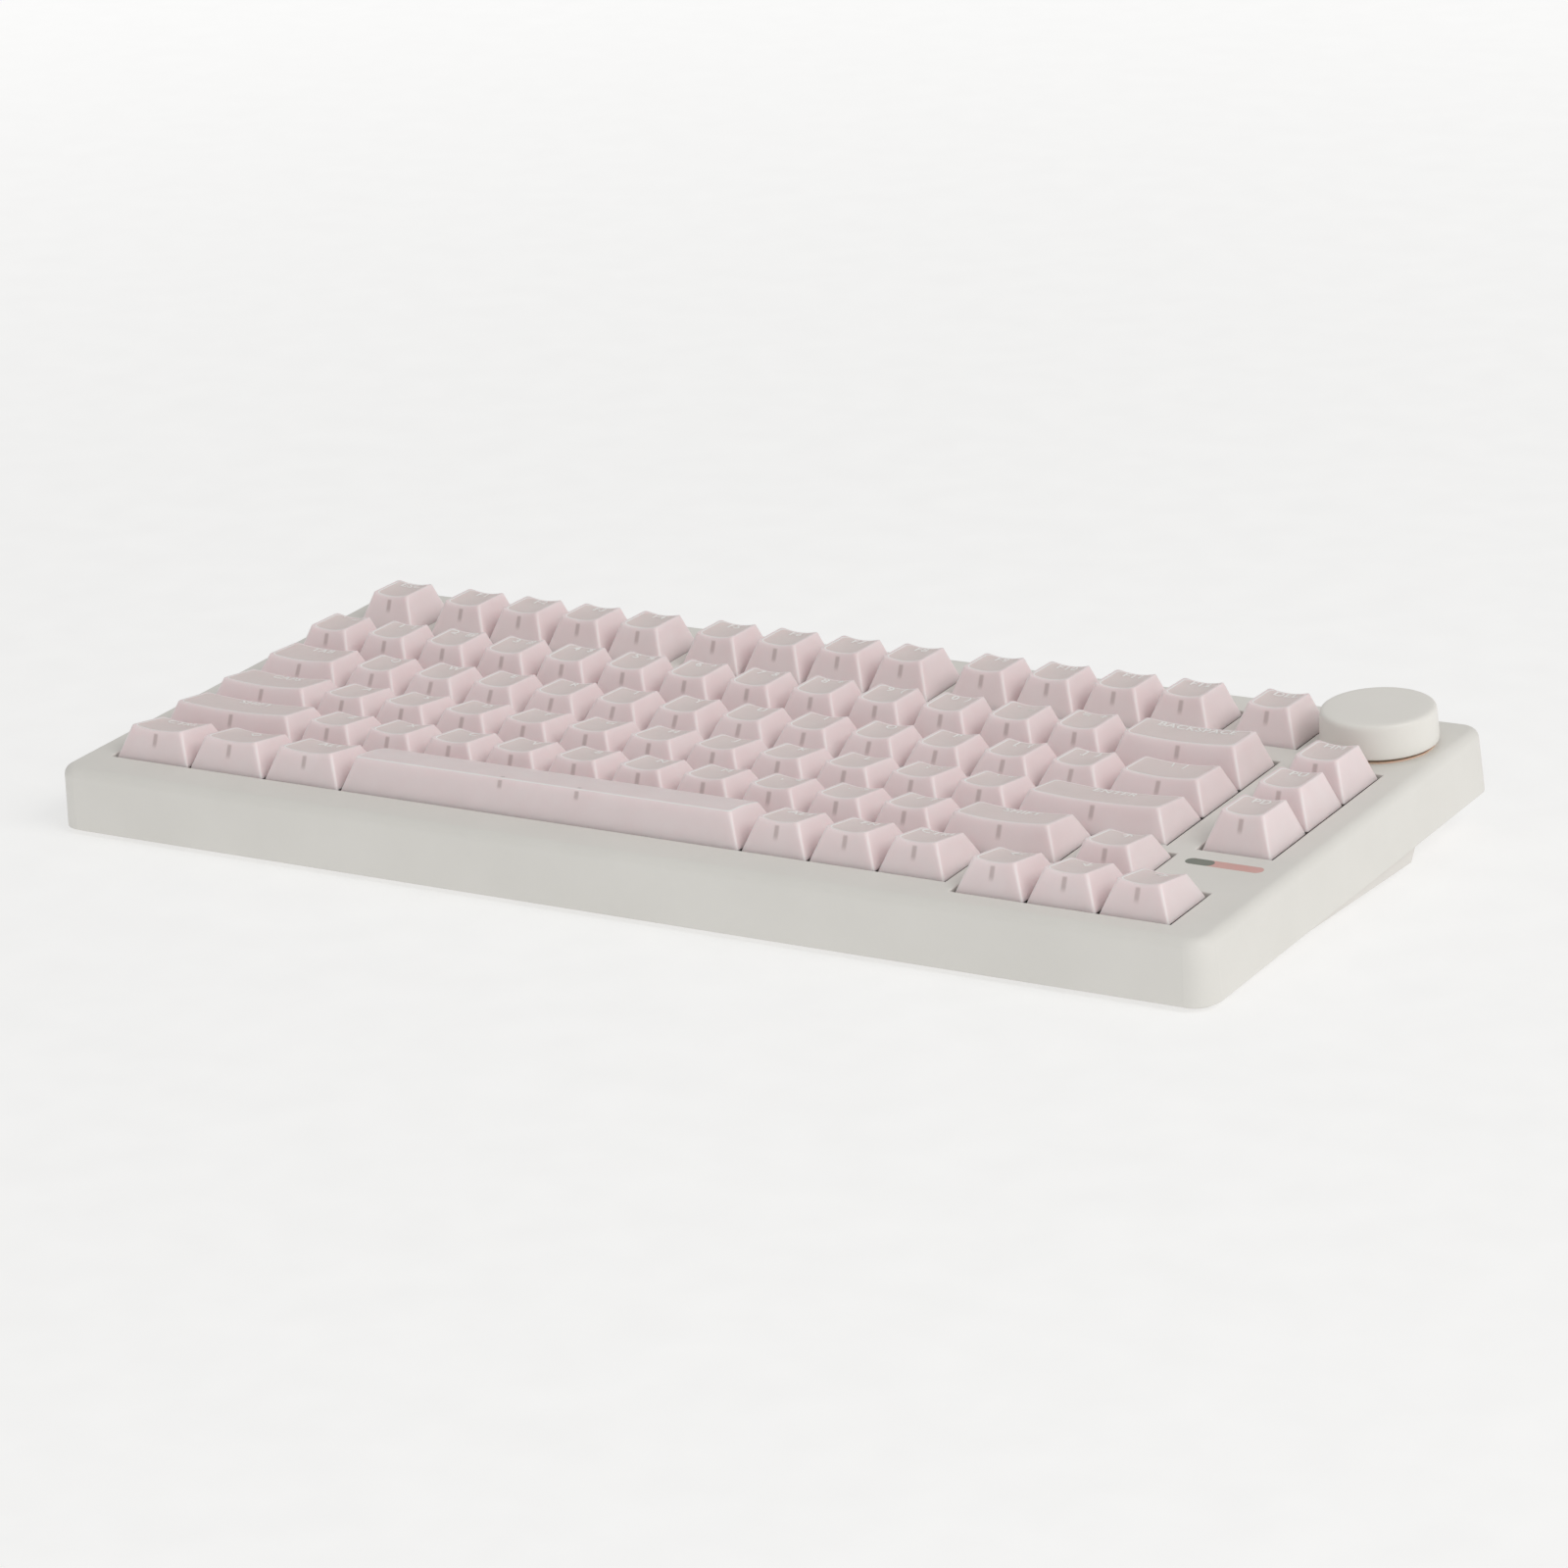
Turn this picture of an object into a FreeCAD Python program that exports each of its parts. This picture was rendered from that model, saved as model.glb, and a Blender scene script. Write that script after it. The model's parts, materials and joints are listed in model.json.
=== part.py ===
"""Compact mechanical keyboard with a rotary knob: 81 sprung keys in a two-piece case on a rear wedge.

Everything above the base is drawn in the key frame: X to the right from the left edge of the main key block,
Y towards the back, Z square to the key tops, with Z = 0 at the skirts of the keycaps. Feet and wedge are drawn
in the desk frame, which is the key frame turned by the typing angle. All lengths are in millimetres.
"""
import FreeCAD, Part
import math
import os

os.makedirs("parts", exist_ok=True)

V = FreeCAD.Vector

# ---------------------------------------------------------------- driving dimensions
PITCH = 19.05            # distance between neighbouring key centres
CAP_GAP = 0.95           # gap between neighbouring keycap skirts
WELL_MARGIN = 0.5        # well wall outside the key cells
TYPING_ANGLE = 3.28      # slope of the key plane against the desk, degrees

CASE_TOP = 0.6           # case surface above the keycap skirts
CASE_FOOT = -15.4        # lower rim of the upper shell
CASE_LEFT, CASE_RIGHT = -10.2, 323.3
CASE_FRONT, CASE_BACK = -132.6, 17.1
CASE_DRAFT = 1.0         # each wall leans in by this much from rim to top
CASE_CORNER = 6.5        # plan radius of the corners at the rim
CASE_EDGE = 2.5          # rounding of the upper edge
WELL_EDGE = 0.4          # rounding of the well mouths
TOP_WALL = 2.6
INNER_LEFT, INNER_RIGHT = -7.4, 320.5
INNER_FRONT, INNER_BACK = -129.8, 14.3
SKIRT_FOOT = -4.9        # the walls round the wells reach down to here
SKIRT_WALL = 2.2

TRAY_BOTTOM = -16.2
TRAY_FLOOR = -15.0
WEDGE_LEFT, WEDGE_RIGHT = -8.4, 321.5
WEDGE_WALL = 1.6
WEDGE_BACK_LOW = (-25.8, -20.09)
WEDGE_BACK_HIGH = (-22.6, -16.0)
# underside of the wedge, desk frame height
WEDGE_FACE = (WEDGE_BACK_LOW[0] * math.sin(math.radians(TYPING_ANGLE))
              + WEDGE_BACK_LOW[1] * math.cos(math.radians(TYPING_ANGLE)))
FOOT_HEIGHT = 2.8        # rubber under the wedge
DESK = WEDGE_FACE - FOOT_HEIGHT

PLATE_TOP = -6.4
PLATE_THICK = 1.5
PLATE_BOX = (-2.6, 316.0, -122.6, 7.6)
BOARD_TOP = -11.4
BOARD_THICK = 1.6
BOARD_BOX = (-1.5, 315.0, -121.6, 6.6)
SWITCH_HOLE = 14.0

TRAVEL = 3.5             # key travel
CAP_WALL = 1.3
CAP_ROOF = 2.0
DISH = 0.9               # depth of the scooped key top

KNOB_X, KNOB_Y = 15.95 * PITCH, -0.25 * PITCH
KNOB_FOOT, KNOB_TOP = 1.6, 10.6
PLUNGE = 0.5             # push travel of the knob

# top width of a one-unit cap, front inset, back inset, height of front edge, height of back edge
PROFILES = {
    "upper": (11.5, 3.9, 1.8, 9.3, 8.9),
    "second": (11.4, 4.15, 1.5, 7.65, 6.8),
    "third": (11.8, 3.5, 1.3, 7.7, 5.7),
    "fourth": (11.8, 3.3, 2.1, 8.0, 6.1),
    "bottom": (11.7, 3.25, 1.65, 8.25, 5.9),
}

# row name: (back edge of the row in units, profile)
ROWS = {
    "f": (0.25, "upper"),
    "number": (-1.25, "upper"),
    "q": (-2.25, "second"),
    "a": (-3.25, "third"),
    "z": (-4.25, "fourth"),
    "space": (-5.25, "bottom"),
    "up": (-4.5, "fourth"),
    "arrow": (-5.5, "bottom"),
    "home": (-1.25, "upper"),
    "page_up": (-2.25, "upper"),
    "page_down": (-3.25, "upper"),
}

# node name: (row, left edge in units, widths in units from left to right)
KEYS = {
    "key_escape": ("f", 0, [1]),
    "keys_f1_f4": ("f", 1.25, [1] * 4),
    "keys_f5_f8": ("f", 5.5, [1] * 4),
    "keys_f9_f12": ("f", 9.75, [1] * 4),
    "key_delete": ("f", 14, [1]),
    "keys_number_left": ("number", 0, [1] * 6),
    "keys_number_right": ("number", 6, [1] * 7),
    "key_backspace": ("number", 13, [2]),
    "key_tab": ("q", 0, [1.5]),
    "keys_q_left": ("q", 1.5, [1] * 5),
    "keys_q_right": ("q", 6.5, [1] * 7),
    "key_backslash": ("q", 13.5, [1.5]),
    "key_caps": ("a", 0, [1.75]),
    "keys_a_left": ("a", 1.75, [1] * 5),
    "keys_a_right": ("a", 6.75, [1] * 6),
    "key_enter": ("a", 12.75, [2.25]),
    "key_shift_left": ("z", 0, [2.25]),
    "keys_z_left": ("z", 2.25, [1] * 5),
    "keys_z_right": ("z", 7.25, [1] * 5),
    "key_shift_right": ("z", 12.25, [1.75]),
    "key_control_left": ("space", 0, [1.25]),
    "key_system": ("space", 1.25, [1.25]),
    "key_alt_left": ("space", 2.5, [1.25]),
    "key_space": ("space", 3.75, [6.25]),
    "key_alt_right": ("space", 10, [1]),
    "key_function": ("space", 11, [1]),
    "key_control_right": ("space", 12, [1]),
    "key_up": ("up", 14.25, [1]),
    "key_left": ("arrow", 13.25, [1]),
    "key_down": ("arrow", 14.25, [1]),
    "key_right": ("arrow", 15.25, [1]),
    "key_home": ("home", 15.45, [1]),
    "key_page_up": ("page_up", 15.45, [1]),
    "key_page_down": ("page_down", 15.45, [1]),
}

# key width in units: half distance between its two stabiliser posts
STABILISED = {2: 11.9, 2.25: 11.9, 6.25: 50.0}

# wells as (left, right, front, back) in units; wells that touch make one opening
WELLS = [
    (0, 1, -0.75, 0.25),
    (1.25, 5.25, -0.75, 0.25),
    (5.5, 9.5, -0.75, 0.25),
    (9.75, 13.75, -0.75, 0.25),
    (14, 15, -0.75, 0.25),
    (0, 15, -4.25, -1.25),
    (0, 14, -5.25, -4.25),
    (0, 13, -6.25, -5.25),
    (14.25, 15.25, -5.5, -4.5),
    (13.25, 16.25, -6.5, -5.5),
    (15.45, 16.45, -4.25, -1.25),
]

SCREWS = [(-4.9, 10.0), (75.0, 11.0), (240.0, 11.0), (318.3, 11.0), (-4.9, -60.0), (318.3, -60.0),
          (12.0, -126.2), (120.0, -126.2), (230.0, -126.2), (318.3, -118.0)]
BOSS_RADIUS = 2.0
SCREW_RADIUS = 0.95

PORT_X = 34.0            # centre of the cable socket
PORT_Z = -10.2
PORT_FACE = 15.7

PILL_X, PILL_Y = 305.0, -88.4
PILL_LENGTH, PILL_WIDTH = 20.2, 3.5
PILL_DARK = 7.4
PILL_DEPTH = 0.6

FLIP_FEET = (58.0, 255.0)
FLIP_WIDTH, FLIP_LENGTH, FLIP_THICK = 30.0, 20.0, 2.4
FLIP_AXIS_Y = -50.0      # desk frame
FLIP_GAP = 0.4

PADS = (20.0, 293.0)     # rubber pads, left and right
PAD_LENGTH = 34.0


# ---------------------------------------------------------------- helpers
def block(x0, x1, y0, y1, z0, z1):
    return Part.makeBox(x1 - x0, y1 - y0, z1 - z0, V(x0, y0, z0))


def rod(x, y, z0, z1, radius):
    return Part.makeCylinder(radius, z1 - z0, V(x, y, z0))


def rounded_wire(x0, x1, y0, y1, z, radius):
    """Rectangle with round corners, drawn anticlockwise at height z."""
    corners = [(x1 - radius, y0 + radius, 270), (x1 - radius, y1 - radius, 0),
               (x0 + radius, y1 - radius, 90), (x0 + radius, y0 + radius, 180)]
    edges = []
    ends = []
    for cx, cy, start in corners:
        points = []
        for turn in (0, 45, 90):
            angle = math.radians(start + turn)
            points.append(V(cx + radius * math.cos(angle), cy + radius * math.sin(angle), z))
        edges.append(Part.Arc(*points).toShape())
        ends.append((points[0], points[2]))
    for i in range(4):
        edges.append(Part.makeLine(ends[i][1], ends[(i + 1) % 4][0]))
    return Part.Wire(Part.__sortEdges__(edges))


def rounded_block(x0, x1, y0, y1, z0, z1, radius):
    face = Part.Face(rounded_wire(x0, x1, y0, y1, z0, radius))
    return face.extrude(V(0, 0, z1 - z0))


def profile_along_x(points, x0, x1):
    """Prism from a closed polygon of (y, z) points."""
    ring = [V(x0, y, z) for y, z in points]
    return Part.Face(Part.makePolygon(ring + ring[:1])).extrude(V(x1 - x0, 0, 0))


def profile_along_y(points, y0, y1):
    """Prism from a closed polygon of (x, z) points."""
    ring = [V(x, y0, z) for x, z in points]
    return Part.Face(Part.makePolygon(ring + ring[:1])).extrude(V(0, y1 - y0, 0))


def turn_to_desk(shape):
    """Key frame to desk frame."""
    turned = shape.copy()
    turned.rotate(V(0, 0, 0), V(1, 0, 0), TYPING_ANGLE)
    return turned


def join(shapes):
    return shapes[0].fuse(shapes[1:]).removeSplitter()


def moved(shape, x, y, z=0):
    copy = shape.copy()
    copy.translate(V(x, y, z))
    return copy


# ---------------------------------------------------------------- key layout
def key_places(node):
    """Centre and width of every key of a node, and its row's profile."""
    row, left, widths = KEYS[node]
    back, profile = ROWS[row]
    places = []
    for width in widths:
        places.append(((left + width / 2) * PITCH, (back - 0.5) * PITCH, width))
        left += width
    return places, profile


def all_places():
    places = []
    for node in KEYS:
        places += key_places(node)[0]
    return places


def stabiliser_places():
    places = []
    for x, y, width in all_places():
        if width in STABILISED:
            places += [(x - STABILISED[width], y), (x + STABILISED[width], y)]
    return places


# ---------------------------------------------------------------- keycaps
def cap_body(half_x, half_y, profile, inset, drop):
    """Tapered block of a keycap: full size for inset 0, or its hollow for the wall inset and roof drop."""
    top_width, front_inset, back_inset, front_height, back_height = PROFILES[profile]
    slope = (PITCH - CAP_GAP - top_width) / (front_height + back_height)
    side = profile_along_x([
        (-half_y + inset, 0),
        (half_y - inset, 0),
        (half_y - inset - back_inset, back_height - drop),
        (-half_y + inset + front_inset, front_height - drop)], -half_x, half_x)
    reach = front_height + 1
    front = profile_along_y([
        (-half_x + inset, 0),
        (half_x - inset, 0),
        (half_x - inset - slope * reach, reach),
        (-half_x + inset + slope * reach, reach)], -half_y, half_y)
    return side.common(front)


def cap_dish(half_x, profile):
    """Long cylinder that scoops the key top, lying along the slope of the top."""
    top_width, front_inset, back_inset, front_height, back_height = PROFILES[profile]
    half_top = half_x - (PITCH - CAP_GAP - top_width) / 2
    radius = (half_top ** 2 + DISH ** 2) / (2 * DISH)
    half_y = (PITCH - CAP_GAP) / 2
    front = V(0, -half_y + front_inset, front_height)
    back = V(0, half_y - back_inset, back_height)
    along = (back - front).normalize()
    up = V(1, 0, 0).cross(along)
    middle = (front + back) * 0.5
    return Part.makeCylinder(radius, 60, middle + up * (radius - DISH) - along * 30, along)


def keycap(width, profile):
    """Hollow cap with the switch slider and stabiliser posts that move with it."""
    half_x = (width * PITCH - CAP_GAP) / 2
    half_y = (PITCH - CAP_GAP) / 2
    outside = cap_body(half_x, half_y, profile, 0, 0)
    hollow = cap_body(half_x, half_y, profile, CAP_WALL, CAP_ROOF)
    slider = block(-3.5, 3.5, -2.7, 2.7, 0, 12).common(outside)
    pieces = [outside.cut(hollow), slider, block(-3.5, 3.5, -2.7, 2.7, -3, 0)]
    for offset in (-1, 1):
        if width in STABILISED:
            x = offset * STABILISED[width]
            post = block(x - 2.2, x + 2.2, -2.2, 2.2, 0, 12).common(outside)
            pieces += [post, block(x - 2.2, x + 2.2, -2.2, 2.2, -3, 0)]
    cap = join(pieces)
    if width < 6:
        cap = cap.cut(cap_dish(half_x, profile))
    return cap


def key_node(node):
    places, profile = key_places(node)
    cap = keycap(places[0][2], profile)
    caps = [moved(cap, x, y) for x, y, width in places]
    if len(caps) == 1:
        return caps[0]
    return Part.makeCompound(caps)


# ---------------------------------------------------------------- case
def well_cutters(margin, z0, z1):
    cutters = []
    for left, right, front, back in WELLS:
        cutters.append(block(left * PITCH - margin, right * PITCH + margin,
                             front * PITCH - margin, back * PITCH + margin, z0, z1))
    return join(cutters)


def pill_block(x0, x1, z0, z1):
    half = PILL_WIDTH / 2
    return rounded_block(x0, x1, PILL_Y - half, PILL_Y + half, z0, z1, half - 0.001)


def port_cutters():
    plug_room = rounded_block(-6.6, 6.6, -3.8, 3.8, 0, 6, 3.6)
    socket_hole = rounded_block(-4.7, 4.7, -1.8, 1.8, 0, 12, 1.75)
    cutters = []
    for cutter, start in ((plug_room, PORT_FACE), (socket_hole, 10)):
        cutter.rotate(V(0, 0, 0), V(1, 0, 0), -90)
        cutters.append(moved(cutter, PORT_X, start, PORT_Z))
    return cutters


def inside_case_top(edge):
    """True for an edge well inside the flat top, so for the mouth of a well."""
    margin = CASE_EDGE + 2
    box = edge.BoundBox
    return (box.XMin > CASE_LEFT + margin and box.XMax < CASE_RIGHT - margin
            and box.YMin > CASE_FRONT + margin and box.YMax < CASE_BACK - margin)


def top_case():
    rim = rounded_wire(CASE_LEFT, CASE_RIGHT, CASE_FRONT, CASE_BACK, CASE_FOOT, CASE_CORNER)
    crown = rounded_wire(CASE_LEFT + CASE_DRAFT, CASE_RIGHT - CASE_DRAFT, CASE_FRONT + CASE_DRAFT,
                         CASE_BACK - CASE_DRAFT, CASE_TOP, CASE_CORNER - CASE_DRAFT)
    shell = Part.makeLoft([rim, crown], True, True)
    upper_edges = [e for e in shell.Edges if e.BoundBox.ZMin > CASE_TOP - 0.01]
    shell = shell.makeFillet(CASE_EDGE, upper_edges)
    room = rounded_block(INNER_LEFT, INNER_RIGHT, INNER_FRONT, INNER_BACK, CASE_FOOT - 1, CASE_TOP - TOP_WALL, 3.5)
    room = room.cut(well_cutters(WELL_MARGIN + SKIRT_WALL, SKIRT_FOOT, CASE_TOP))
    bosses = [rod(x, y, TRAY_FLOOR, CASE_TOP - TOP_WALL + 0.1, BOSS_RADIUS) for x, y in SCREWS]
    room = room.cut(bosses)
    shell = shell.cut(room)
    shell = shell.cut(well_cutters(WELL_MARGIN, -10, CASE_TOP + 5))
    mouths = [e for e in shell.Edges if e.BoundBox.ZMin > CASE_TOP - 0.01 and inside_case_top(e)]
    shell = shell.makeFillet(WELL_EDGE, mouths)
    holes = [rod(x, y, TRAY_FLOOR - 1, -8.5, SCREW_RADIUS + 0.05) for x, y in SCREWS]
    holes.append(rod(KNOB_X, KNOB_Y, -3, 2, 3.8))
    half = PILL_LENGTH / 2
    holes.append(pill_block(PILL_X - half, PILL_X + half, CASE_TOP - PILL_DEPTH, CASE_TOP + 1))
    return shell.cut(holes + port_cutters())


def wedge_front(height):
    """Where the underside of the wedge reaches a height, key frame."""
    back_y, back_z = WEDGE_BACK_LOW
    return back_y + (back_z - height) / math.tan(math.radians(TYPING_ANGLE))


def wedge():
    """Wedge under the tray, key frame; its underside is level with the desk."""
    high_y, high_z = WEDGE_BACK_HIGH
    front_y = wedge_front(TRAY_BOTTOM)
    return profile_along_x([(front_y, TRAY_BOTTOM), WEDGE_BACK_LOW, (high_y, high_z), (front_y, high_z)],
                           WEDGE_LEFT, WEDGE_RIGHT)


def wedge_hollows():
    """Rooms inside the wedge, open to the tray, between the pockets of the folding feet."""
    back_y, back_z = WEDGE_BACK_LOW
    front_y = wedge_front(TRAY_FLOOR - WEDGE_WALL)
    ring = [(front_y, TRAY_FLOOR + 0.2), (front_y, TRAY_FLOOR), (back_y - WEDGE_WALL, back_z + WEDGE_WALL),
            (back_y + 0.9, TRAY_FLOOR + 0.2)]
    edge = FLIP_WIDTH / 2 + 6
    left_foot, right_foot = FLIP_FEET
    spans = [(WEDGE_LEFT + WEDGE_WALL, left_foot - edge), (left_foot + edge, right_foot - edge),
             (right_foot + edge, WEDGE_RIGHT - WEDGE_WALL)]
    return [profile_along_x(ring, x0, x1) for x0, x1 in spans]


def flip_recess(x, grow):
    """Pocket for one folding foot, desk frame; grow is the clearance round the foot."""
    return block(x - FLIP_WIDTH / 2 - grow, x + FLIP_WIDTH / 2 + grow,
                 FLIP_AXIS_Y - FLIP_THICK / 2 - grow, FLIP_AXIS_Y + FLIP_LENGTH + grow,
                 WEDGE_FACE - 1, WEDGE_FACE + FLIP_THICK + grow)


def bottom_case():
    flange = rounded_block(CASE_LEFT + 1.5, CASE_RIGHT - 1.5, CASE_FRONT + 1.5, CASE_BACK - 1.5,
                           TRAY_BOTTOM, CASE_FOOT, 5.0)
    floor = rounded_block(INNER_LEFT + 0.1, INNER_RIGHT - 0.1, INNER_FRONT + 0.1, INNER_BACK - 0.1,
                          TRAY_BOTTOM, TRAY_FLOOR, 3.4)
    lip = rounded_block(INNER_LEFT + 0.1, INNER_RIGHT - 0.1, INNER_FRONT + 0.1, INNER_BACK - 0.1,
                        TRAY_FLOOR, TRAY_FLOOR + 1.5, 3.4)
    lip = lip.cut(rounded_block(INNER_LEFT + 1.1, INNER_RIGHT - 1.1, INNER_FRONT + 1.1, INNER_BACK - 1.1,
                                TRAY_FLOOR, TRAY_FLOOR + 1.5, 2.4))
    lip = lip.cut([rod(x, y, TRAY_FLOOR, TRAY_FLOOR + 2, BOSS_RADIUS + 0.3) for x, y in SCREWS])
    posts = [rod(PORT_X + dx, 10.0, TRAY_FLOOR, PORT_Z - 3.2, 1.5) for dx in (-6.5, 6.5)]
    tray = join([flange, floor, lip, wedge()] + posts)
    holes = wedge_hollows()
    for x, y in SCREWS:
        holes.append(rod(x, y, TRAY_BOTTOM - 1, TRAY_FLOOR + 1, SCREW_RADIUS + 0.1))
        holes.append(rod(x, y, TRAY_BOTTOM - 1, TRAY_BOTTOM + 0.7, 2.1))
    tray = turn_to_desk(tray.cut(holes))
    return tray.cut([flip_recess(x, FLIP_GAP) for x in FLIP_FEET])


def screws():
    shapes = []
    for x, y in SCREWS:
        head = rod(x, y, TRAY_BOTTOM, TRAY_BOTTOM + 0.7, 2.0)
        socket = rod(x, y, TRAY_BOTTOM - 1, TRAY_BOTTOM + 0.4, 0.9)
        shapes.append(join([head, rod(x, y, TRAY_BOTTOM, -9, SCREW_RADIUS)]).cut(socket))
    return Part.makeCompound(shapes)


def foot_pad(x, y0, y1, ceiling):
    """Rubber pad from the desk up to a surface, desk frame."""
    half = PAD_LENGTH / 2
    return rounded_block(x - half, x + half, y0, y1, DESK, ceiling, 2.0)


def tray_cutter():
    """Everything above the tray's underside, desk frame."""
    return turn_to_desk(block(-40, 360, -160, 60, TRAY_BOTTOM, 40))


def front_feet():
    pads = [foot_pad(x, -124, -116, DESK + 6).cut(tray_cutter()) for x in PADS]
    return Part.makeCompound(pads)


def rear_feet():
    pads = [foot_pad(x, -36, -28, WEDGE_FACE) for x in PADS]
    return Part.makeCompound(pads)


def flip_foot(x):
    """Folded plate with a round hinge barrel at its front end, desk frame."""
    half = FLIP_THICK / 2
    height = WEDGE_FACE + half
    barrel = Part.makeCylinder(half, FLIP_WIDTH, V(x - FLIP_WIDTH / 2, FLIP_AXIS_Y, height), V(1, 0, 0))
    plate = block(x - FLIP_WIDTH / 2, x + FLIP_WIDTH / 2, FLIP_AXIS_Y, FLIP_AXIS_Y + FLIP_LENGTH,
                  WEDGE_FACE, WEDGE_FACE + FLIP_THICK)
    grip = block(x - 6, x + 6, FLIP_AXIS_Y + FLIP_LENGTH - 2.5, FLIP_AXIS_Y + FLIP_LENGTH + 1,
                 WEDGE_FACE - 1, WEDGE_FACE + 1.2)
    return join([barrel, plate]).cut(grip)


def flip_pins():
    """Steel hinge pins from the wedge into both folding feet."""
    shapes = []
    for x in FLIP_FEET:
        start = V(x - FLIP_WIDTH / 2 - 3, FLIP_AXIS_Y, WEDGE_FACE + FLIP_THICK / 2)
        shapes.append(Part.makeCylinder(0.6, FLIP_WIDTH + 6, start, V(1, 0, 0)))
    return Part.makeCompound(shapes)


def flip_bores(grow):
    return [Part.makeCylinder(0.6 + grow, FLIP_WIDTH + 6, V(x - FLIP_WIDTH / 2 - 3, FLIP_AXIS_Y,
                              WEDGE_FACE + FLIP_THICK / 2), V(1, 0, 0)) for x in FLIP_FEET]


# ---------------------------------------------------------------- inside the case
def switch_plate():
    x0, x1, y0, y1 = PLATE_BOX
    plate = block(x0, x1, y0, y1, PLATE_TOP - PLATE_THICK, PLATE_TOP)
    half = SWITCH_HOLE / 2
    holes = [block(x - half, x + half, y - half, y + half, -12, 0) for x, y, width in all_places()]
    holes += [block(x - 3.7, x + 3.7, y - 6.5, y + 6.5, -12, 0) for x, y in stabiliser_places()]
    holes.append(block(KNOB_X - 7, KNOB_X + 7, KNOB_Y - 7, KNOB_Y + 7, -12, 0))
    return plate.cut(holes)


def circuit_board():
    x0, x1, y0, y1 = BOARD_BOX
    return block(x0, x1, y0, y1, BOARD_TOP - BOARD_THICK, BOARD_TOP)


def plate_foam():
    x0, x1, y0, y1 = BOARD_BOX
    foam = block(x0, x1, y0, y1, BOARD_TOP, PLATE_TOP - PLATE_THICK)
    holes = [block(x - 7.6, x + 7.6, y - 7.6, y + 7.6, -12, 0) for x, y, width in all_places()]
    holes += [block(x - 4.4, x + 4.4, y - 7.2, y + 7.2, -12, 0) for x, y in stabiliser_places()]
    holes.append(block(KNOB_X - 7.6, KNOB_X + 7.6, KNOB_Y - 7.6, KNOB_Y + 7.6, -12, 0))
    return foam.cut(holes)


def switch_housing():
    lower = block(-6.95, 6.95, -6.95, 6.95, BOARD_TOP, PLATE_TOP)
    collar = block(-7.7, 7.7, -7.7, 7.7, PLATE_TOP, PLATE_TOP + 1)
    shoulder = PLATE_TOP + 1
    top = PLATE_TOP + 6.2
    wide = profile_along_y([(-7.2, shoulder), (7.2, shoulder), (5.2, top), (-5.2, top)], -8, 8)
    deep = profile_along_x([(-7.2, shoulder), (7.2, shoulder), (4.7, top), (-4.7, top)], -8, 8)
    body = join([lower, collar, wide.common(deep)])
    return body.cut(block(-3.7, 3.7, -2.9, 2.9, BOARD_TOP + 3, 2))


def switch_housings():
    housing = switch_housing()
    return Part.makeCompound([moved(housing, x, y) for x, y, width in all_places()])


def switch_sockets():
    foot = BOARD_TOP - BOARD_THICK
    socket = block(-5.6, 5.3, 1.6, 6.2, foot - 1.8, foot)
    return Part.makeCompound([moved(socket, x, y) for x, y, width in all_places()])


def stabilisers():
    housing = block(-3.5, 3.5, -6.3, 6.3, BOARD_TOP, PLATE_TOP + 3.6)
    housing = housing.cut(block(-2.5, 2.5, -2.5, 2.5, BOARD_TOP + 0.8, 0))
    return Part.makeCompound([moved(housing, x, y) for x, y in stabiliser_places()])


def gasket_strips():
    z0, z1 = PLATE_TOP, SKIRT_FOOT
    strips = [block(-2.4, -0.7, y, y + 22, z0, z1) for y in (-105, -50)]
    strips += [block(314.1, 315.8, y, y + 18, z0, z1) for y in (-76, -48)]
    strips += [block(x, x + 45, 5.5, 7.2, z0, z1) for x in (28, 110, 195)]
    strips += [block(x, x + 45, -121.6, -119.8, z0, z1) for x in (28, 110, 195)]
    return Part.makeCompound(strips)


def socket_board():
    return block(PORT_X - 9, PORT_X + 9, 7.2, 14.0, PORT_Z - 3.2, PORT_Z - 1.6)


def port_tube(grow, y0, y1):
    tube = rounded_block(-4.5 - grow, 4.5 + grow, -1.6 - grow, 1.6 + grow, 0, y1 - y0, 1.59 + grow)
    tube.rotate(V(0, 0, 0), V(1, 0, 0), -90)
    return moved(tube, PORT_X, y0, PORT_Z)


def port_shell():
    return port_tube(0, 8.0, PORT_FACE).cut(port_tube(-0.3, 7.0, PORT_FACE + 1))


def port_tongue():
    root = port_tube(-0.3, 8.0, 9.6)
    tongue = block(PORT_X - 3.35, PORT_X + 3.35, 9.0, 14.8, PORT_Z - 0.35, PORT_Z + 0.35)
    return join([root, tongue])


# ---------------------------------------------------------------- knob
def encoder_body():
    base = block(KNOB_X - 6.2, KNOB_X + 6.2, KNOB_Y - 6.2, KNOB_Y + 6.2, BOARD_TOP, -4.9)
    body = join([base, rod(KNOB_X, KNOB_Y, BOARD_TOP, 0.2, 3.6)])
    return body.cut(rod(KNOB_X, KNOB_Y, -9.6, 1, 3.06))


def encoder_plunger():
    return rod(KNOB_X, KNOB_Y, -8.9, -7.9, 2.9)


def knob_shaft():
    return rod(KNOB_X, KNOB_Y, -7.9, 8.0, 3.0)


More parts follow.
